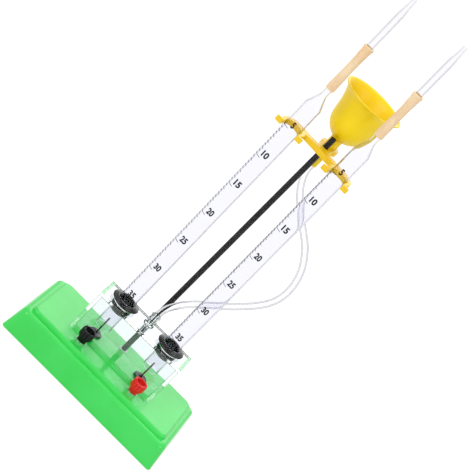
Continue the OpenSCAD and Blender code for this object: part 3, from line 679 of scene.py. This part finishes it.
def latex_sleeve(name, side):
    """Latex sleeve, drawn in between the two glass ends and rolled at its top."""
    gap = 0.02
    slack = 0.4
    outer = [(4.0, sleeve_foot, 0), (4.15, sleeve_foot + 1.5, 0), (4.12, neck_top - 5, 0),
             (3.95, neck_top, 0), (3.7, neck_top + 5, 0), (3.7, jet_foot - 4, 0), (3.85, jet_foot, 0),
             (4.1, jet_foot + 4, 0), (4.15, sleeve_top - 6, 0), (4.35, sleeve_top - 3.4, 0),
             (4.6, sleeve_top - 1.6, 0), (4.5, sleeve_top - 0.2, 0)]
    outline = [(neck_r + gap, sleeve_foot, 0.3)]
    outline += [(p.x, p.y, 0) for p in smooth_line(outer, steps=4)]
    outline += [(neck_r + 0.25, sleeve_top, 0.3), (jet_grip_r + gap, sleeve_top - 0.4, 0.1),
                (jet_foot_r + gap, jet_foot, 0), (neck_r - slack, jet_foot, 0), (neck_r - slack, neck_top, 0),
                (neck_r + gap, neck_top, 0)]
    bm = turned(eased(outline), segments=56)
    for v in bm.verts:
        around = math.atan2(v.co.y, v.co.x)
        wide = 0.012 * math.sin(2 * around + 0.21 * v.co.z)
        fine = 0.008 * math.sin(3 * around - 0.37 * v.co.z)
        if math.hypot(v.co.x, v.co.y) > neck_r + slack:
            v.co.x *= 1 + wide + fine
            v.co.y *= 1 + wide + fine
    finished(f"{name}_latex_sleeve_skin", bm, latex_skin, f"{name}_tube", on_tube(side),
             node=f"{name}_latex_sleeve")


def glass_jet(name, side):
    """Glass jet, drawn out to a fine tip."""
    bore_r = neck_r - glass_t
    draw = neck_r - jet_tip_r
    ease_len = 0.6
    shares = [(0, 0), (0.1, 0.03), (0.22, 0.16), (0.38, 0.44), (0.52, 0.68), (0.66, 0.82), (0.85, 0.93),
              (1, 1)]
    outer = [Vector((neck_r - drawn * draw, jet_shoulder + up * jet_taper, 0)) for up, drawn in shares]
    curve = smooth_line(outer, steps=3)
    tip_bore = jet_tip_r - glass_t
    outline = [(bore_r, jet_foot, 0.3), (jet_foot_r, jet_foot, 0.3), (jet_grip_r, sleeve_top, 0),
               (neck_r, sleeve_top + ease_len, 0)]
    outline += [(p.x, p.y, 0) for p in curve[:-1]]
    outline += [(jet_tip_r, jet_tip, 0.3), (tip_bore, jet_tip, 0.3)]
    outline += [(p.x - glass_t, p.y, 0) for p in reversed(curve[:-1])]
    finished(f"{name}_glass_jet_body", turned(eased(outline), segments=48), jet_glass, f"{name}_tube",
             on_tube(side), node=f"{name}_glass_jet")


def flat_number(text, width, height):
    """A number as a thin flat mesh, its middle at zero."""
    letters = bpy.data.curves.new("number", "FONT")
    letters.body = text
    letters.offset = 0.045
    letters.extrude = 0.01
    letters.resolution_u = 6
    holder = bpy.data.objects.new("number", letters)
    bpy.context.scene.collection.objects.link(holder)
    mesh = bpy.data.meshes.new_from_object(holder.evaluated_get(bpy.context.evaluated_depsgraph_get()))
    bpy.data.objects.remove(holder)
    bm = bmesh.new()
    bm.from_mesh(mesh)
    low = Vector([min(v.co[i] for v in bm.verts) for i in range(3)])
    high = Vector([max(v.co[i] for v in bm.verts) for i in range(3)])
    size = high - low
    bmesh.ops.translate(bm, verts=bm.verts, vec=-(low + high) / 2)
    bmesh.ops.scale(bm, vec=(width / size.x, height / size.y, ink_t / size.z), verts=bm.verts)
    return bm


def tube_scale(name, side, first_mark_z):
    """Graduations from 5 to 35 and their numbers, printed flat and then wrapped on the tube's front left."""
    bm = bmesh.new()
    skin_gap = 0.01
    wrap_r = tube_r + ink_t / 2 + skin_gap
    from_angle = -100
    for i in range(mark_count):
        to_angle = -18 if i % 10 == 0 else -44 if i % 2 == 0 else -52
        start, end = (wrap_r * math.radians(angle) for angle in (from_angle, to_angle))
        z = first_mark_z - lid_z - i * mark_step
        add_box(bm, (start, z - mark_h / 2, -ink_t / 2), (end, z + mark_h / 2, ink_t / 2))
        if i % 10 == 0:
            number = str(5 + i // 2)
            flat = flat_number(number, digit_w * len(number) + digit_gap * (len(number) - 1), number_h)
            bmesh.ops.translate(flat, verts=flat.verts, vec=(number_x, z + number_rise, 0))
            spare = bpy.data.meshes.new("number")
            flat.to_mesh(spare)
            flat.free()
            bm.from_mesh(spare)
            bpy.data.meshes.remove(spare)
    strip = 0.6
    for k in range(-23, 17):
        geometry = list(bm.verts) + list(bm.edges) + list(bm.faces)
        bmesh.ops.bisect_plane(bm, geom=geometry, dist=0.0001, plane_co=(k * strip, 0, 0), plane_no=(1, 0, 0))
    for v in bm.verts:
        around = v.co.x / wrap_r
        radius = wrap_r + v.co.z
        v.co = (radius * math.sin(around), -radius * math.cos(around), v.co.y)
    place = on_tube(side)
    if side < 0:
        place = place @ Matrix.Translation((0, 0, left_tube_drop))
    finished(f"{name}_tube_scale", bm, ink, f"{name}_tube", place)


# Bracket and funnel

def clip_bracket():
    """Moulded bracket with its clips, bar and funnel ring, all edges rounded."""
    finished("tube_bracket_moulding", cad_copy("tube_bracket", ease=0.5, sharp=40), amber,
             node="tube_bracket")


def bell_funnel():
    """Bell-shaped funnel with a turned-out brim, a neck on the bracket and a stem for the hose."""
    shares = [(0.30, 0.035), (0.40, 0.075), (0.53, 0.155), (0.63, 0.265), (0.685, 0.40), (0.72, 0.55),
              (0.765, 0.68), (0.815, 0.78), (0.86, 0.86), (0.915, 0.925), (0.985, 0.97)]
    bowl = smooth_line([Vector((out * rim_r, bowl_foot_z + up * bowl_h, 0)) for out, up in shares], steps=4)
    inner = []
    for i, p in enumerate(bowl):
        run = (bowl[min(i + 1, len(bowl) - 1)] - bowl[max(i - 1, 0)]).normalized()
        inner.append(p + funnel_t * Vector((-run.y, run.x, 0)))
    rim_z = bowl_foot_z + bowl_h
    bore_r = stem_r - funnel_t
    neck_out = 5.5
    foot_z = inner[4].y
    outline = [(socket_r, stem_end_z + socket_depth), (socket_r, stem_end_z, 0.2),
               (stem_r, stem_end_z, 0.3), (stem_r, bracket_z, 0), (neck_out, bracket_z, 0.3),
               (neck_out, bowl_foot_z, 1.5)]
    outline += [(p.x, p.y, 0) for p in bowl]
    outline += [(rim_r, rim_z - 0.8, 0.4), (rim_r - 0.4, rim_z, 0.4), (rim_r - funnel_t, rim_z - 0.4, 0.5)]
    outline += [(p.x, p.y, 0) for p in reversed(inner[6:-2])]
    outline += [(bore_r + funnel_t, foot_z, 0.8), (bore_r, foot_z - funnel_t, 0.6),
                (bore_r, stem_end_z + socket_depth)]
    place = Matrix.Translation((*head_xy(0, funnel_reach), 0))
    finished("filling_funnel_bell", turned(eased(outline), segments=96), yellow, place=place,
             node="filling_funnel")


# Electrodes, rod and posts

def electrode_parts(name, side):
    """Thin electrode on its threaded stem, and the rubber plug that seals it."""
    place = Matrix.Translation((side * tube_pitch / 2, 0, 0))
    lug_t, nut_h, thread_end = 0.5, 2.4, 1.5
    low = ceiling_z - lug_t - nut_h - thread_end
    tip = floor_z + 20.3
    thread_r = 1.5
    pin_r = thread_r / 2
    pin = [(0, low), (thread_r, low, 0.3), (thread_r, floor_z + 1, 0.1), (pin_r, floor_z + 1 + pin_r, 0.1),
           (pin_r, tip, 0.3), (0, tip)]
    finished(f"{name}_electrode_pin", turned(eased(pin), segments=32), dark_metal, place=place,
             node=f"{name}_electrode")
    bore_r = thread_r + 0.05
    spigot_r = 4
    flange_r = 6.3
    flange_h = 2
    plug = [(bore_r, ceiling_z), (spigot_r, ceiling_z, 0.1), (spigot_r, floor_z, 0.05),
            (flange_r, floor_z, 0.1), (flange_r, floor_z + 0.75 * flange_h, 0.5),
            (flange_r - 0.7, floor_z + flange_h, 0.5), (bore_r, floor_z + flange_h, 0.2)]
    finished(f"{name}_electrode_plug_rubber", turned(eased(plug), segments=56), rubber, place=place,
             node=f"{name}_electrode_plug")


def rod_parts():
    """Painted rod and the pale ring at its foot."""
    place = Matrix.Translation((0, rod_y, 0))
    rod = [(0, rod_end_z), (rod_r, rod_end_z, 0.4), (rod_r, rod_top_z, 0.5), (0, rod_top_z)]
    finished("support_rod_bar", turned(eased(rod), segments=48), paint, place=place, node="support_rod")
    inner, outer = rod_r + 0.05, 4
    top = deck_z + 0.83
    ring = [(inner, deck_z), (outer, deck_z, 0.1), (outer, top, 0.3), (inner, top, 0.2)]
    finished("rod_foot_ring", turned(eased(ring), segments=48), pale_plastic, place=place,
             node="rod_foot_washer")


def post_cap(name, side, material):
    """Screw cap of a binding post: a fluted head on a narrower foot, with a recess in its top."""
    cap_z = deck_z + 1.7
    cap_h = 11.6
    head_h = 7.4
    head_r = 6.6
    foot_r = 5
    foot_draft = 0.7
    recess_r = 4.3
    recess_h = 3.5
    flutes = 14
    flute_share = 0.1
    bore_r = stud_r + run_gap
    outline = [(bore_r, 0), (foot_r - foot_draft, 0, 0.3), (foot_r, cap_h - head_h - 0.4, 0.3),
               (head_r, cap_h - head_h + 0.5, 0.4), (head_r, cap_h, 0.7), (recess_r, cap_h, 0.4),
               (recess_r, cap_h - recess_h, 0.1), (bore_r, cap_h - recess_h)]
    bm = turned(eased(outline, steps=4), segments=flutes * 10)
    long_edge = 3
    for e in [e for e in bm.edges if e.calc_length() > long_edge]:
        bmesh.ops.subdivide_edges(bm, edges=[e], cuts=1)
    flutes_from = foot_r + 0.2
    for v in bm.verts:
        radius = math.hypot(v.co.x, v.co.y)
        if radius > flutes_from:
            wave = max(0.0, math.cos(flutes * math.atan2(v.co.y, v.co.x)))
            share = 1 - flute_share * wave ** 2 * min(1.0, radius - flutes_from)
            v.co.x *= share
            v.co.y *= share
    finished(f"{name}_post_cap_head", bm, material, f"{name}_cap",
             Matrix.Translation((side * post_pitch / 2, post_y, cap_z)), node=f"{name}_post_cap")


def lead_wire(name, side, material):
    """Insulated wire under the deck, from an electrode's lug to its post's lug."""
    bow = 8
    wire_r = 0.9
    lug_reach = 9.5
    start = Vector((tube_pitch / 2 + bow, 0, ceiling_z - 0.95))
    end = Vector((post_pitch / 2 + lug_reach, post_y, ceiling_z - 1.05))
    route = [start, start + Vector((bow / 2, -bow / 8, -bow / 8)),
             (start.x + bow, post_y / 4, start.z - bow / 3), (end.x + bow, post_y / 2, end.z - bow / 2),
             (end.x + bow * 0.9, 0.8 * post_y, end.z - bow / 3),
             end + Vector((bow / 2, bow / 8, -bow / 8)), end]
    bm = swept(smooth_line(route, steps=8), wire_r, segments=18, capped=True)
    if side < 0:
        bmesh.ops.scale(bm, vec=(-1, 1, 1), verts=bm.verts)
    finished(f"{name}_lead_wire_covering", bm, material, node=f"{name}_lead_wire")


def dress(material, *nodes):
    """Gives CAD nodes that stay in sight their material."""
    for node in nodes:
        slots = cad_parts[node].data.materials
        slots.clear()
        slots.append(material)


# Stage

def grey(level):
    """An even grey, in Blender's linear values."""
    return level, level, level, 1


def white_stage():
    """Pale floor and world, white to the camera and in gloss and glass, with soft studio light."""
    floor_mesh = bpy.data.meshes.new("studio_floor")
    floor_reach = 6
    bm = bmesh.new()
    bmesh.ops.create_grid(bm, x_segments=1, y_segments=1, size=floor_reach)
    bm.to_mesh(floor_mesh)
    bm.free()
    floor = bpy.data.objects.new("studio_floor", floor_mesh)
    bpy.context.scene.collection.objects.link(floor)
    paper = bpy.data.materials.new("studio_paper")
    paper.use_nodes = True
    tree = paper.node_tree
    tree.nodes.clear()
    output = tree.nodes.new("ShaderNodeOutputMaterial")
    plain = tree.nodes.new("ShaderNodeBsdfDiffuse")
    plain.inputs["Color"].default_value = grey(0.8)
    shaded = tree.nodes.new("ShaderNodeBsdfDiffuse")
    shaded.inputs["Color"].default_value = grey(0.3)
    glow = tree.nodes.new("ShaderNodeEmission")
    glow.inputs["Strength"].default_value = 0.84
    white = tree.nodes.new("ShaderNodeAddShader")
    mix = tree.nodes.new("ShaderNodeMixShader")
    tree.links.new(shaded.outputs[0], white.inputs[0])
    tree.links.new(glow.outputs[0], white.inputs[1])
    tree.links.new(seen_rays(tree), mix.inputs["Fac"])
    tree.links.new(plain.outputs[0], mix.inputs[1])
    tree.links.new(white.outputs[0], mix.inputs[2])
    tree.links.new(mix.outputs[0], output.inputs["Surface"])
    floor_mesh.materials.append(paper)

    world = bpy.data.worlds.new("studio")
    bpy.context.scene.world = world
    world.use_nodes = True
    tree = world.node_tree
    tree.nodes.clear()
    output = tree.nodes.new("ShaderNodeOutputWorld")
    ambient = tree.nodes.new("ShaderNodeBackground")
    ambient.inputs["Color"].default_value = grey(1)
    ambient.inputs["Strength"].default_value = 0.6
    backdrop = tree.nodes.new("ShaderNodeBackground")
    backdrop.inputs["Color"].default_value = grey(1)
    mix = tree.nodes.new("ShaderNodeMixShader")
    tree.links.new(seen_rays(tree), mix.inputs["Fac"])
    tree.links.new(ambient.outputs[0], mix.inputs[1])
    tree.links.new(backdrop.outputs[0], mix.inputs[2])
    tree.links.new(mix.outputs[0], output.inputs["Surface"])


def seen_rays(tree):
    """One for camera, gloss and transmission rays, which see the white background."""
    path = tree.nodes.new("ShaderNodeLightPath")
    value = path.outputs["Is Camera Ray"]
    for kind in ("Is Glossy Ray", "Is Transmission Ray"):
        larger = tree.nodes.new("ShaderNodeMath")
        larger.operation = "MAXIMUM"
        tree.links.new(value, larger.inputs[0])
        tree.links.new(path.outputs[kind], larger.inputs[1])
        value = larger.outputs[0]
    return value


def soft_light(name, place, target, size, power):
    """A large square lamp that looks at a point."""
    lamp = bpy.data.lights.new(name, "AREA")
    lamp.energy = power
    lamp.size = size
    holder = bpy.data.objects.new(name, lamp)
    holder.location = place
    holder.rotation_euler = (Vector(target) - Vector(place)).to_track_quat("-Z", "Y").to_euler()
    bpy.context.scene.collection.objects.link(holder)


def studio_lights():
    """Soft key from the upper left, a weaker fill from the right, a light from above and one from behind,
    whose sheen lies on the deck."""
    middle = (0, 0, 0.15)
    soft_light("key_light", (-0.9, -1.1, 1.3), middle, size=1.0, power=12)
    soft_light("fill_light", (1.2, -0.9, 0.8), middle, size=1.0, power=5)
    soft_light("top_light", (0.1, 0.5, 1.6), middle, size=1.2, power=6.5)
    soft_light("sheen_light", (0, 1.4, 0.62), middle, size=0.9, power=3.2)


bpy.context.scene.view_settings.view_transform = "Standard"
make_camera()
filling_hose()
base_moulding()
acrylic_tank()
acrylic_lid()
hose_nozzle()
for name, side in sides.items():
    stopper(name, side)
    gas_tube(name, side)
    latex_sleeve(name, side)
    glass_jet(name, side)
    electrode_parts(name, side)
tube_scale("left", -1, first_mark_z=279.7)
tube_scale("right", 1, first_mark_z=283.1)
clip_bracket()
bell_funnel()
rod_parts()
post_cap("black", -1, black_plastic)
post_cap("red", 1, red_plastic)
lead_wire("left", -1, black_covering)
lead_wire("right", 1, red_covering)
dress(steel, "rod_nut", "black_post_washer", "red_post_washer", "black_post_stud", "red_post_stud",
      "post_nuts", "post_lock_washers", "electrode_nuts")
dress(brass, "post_lugs", "electrode_lugs")
white_stage()
studio_lights()
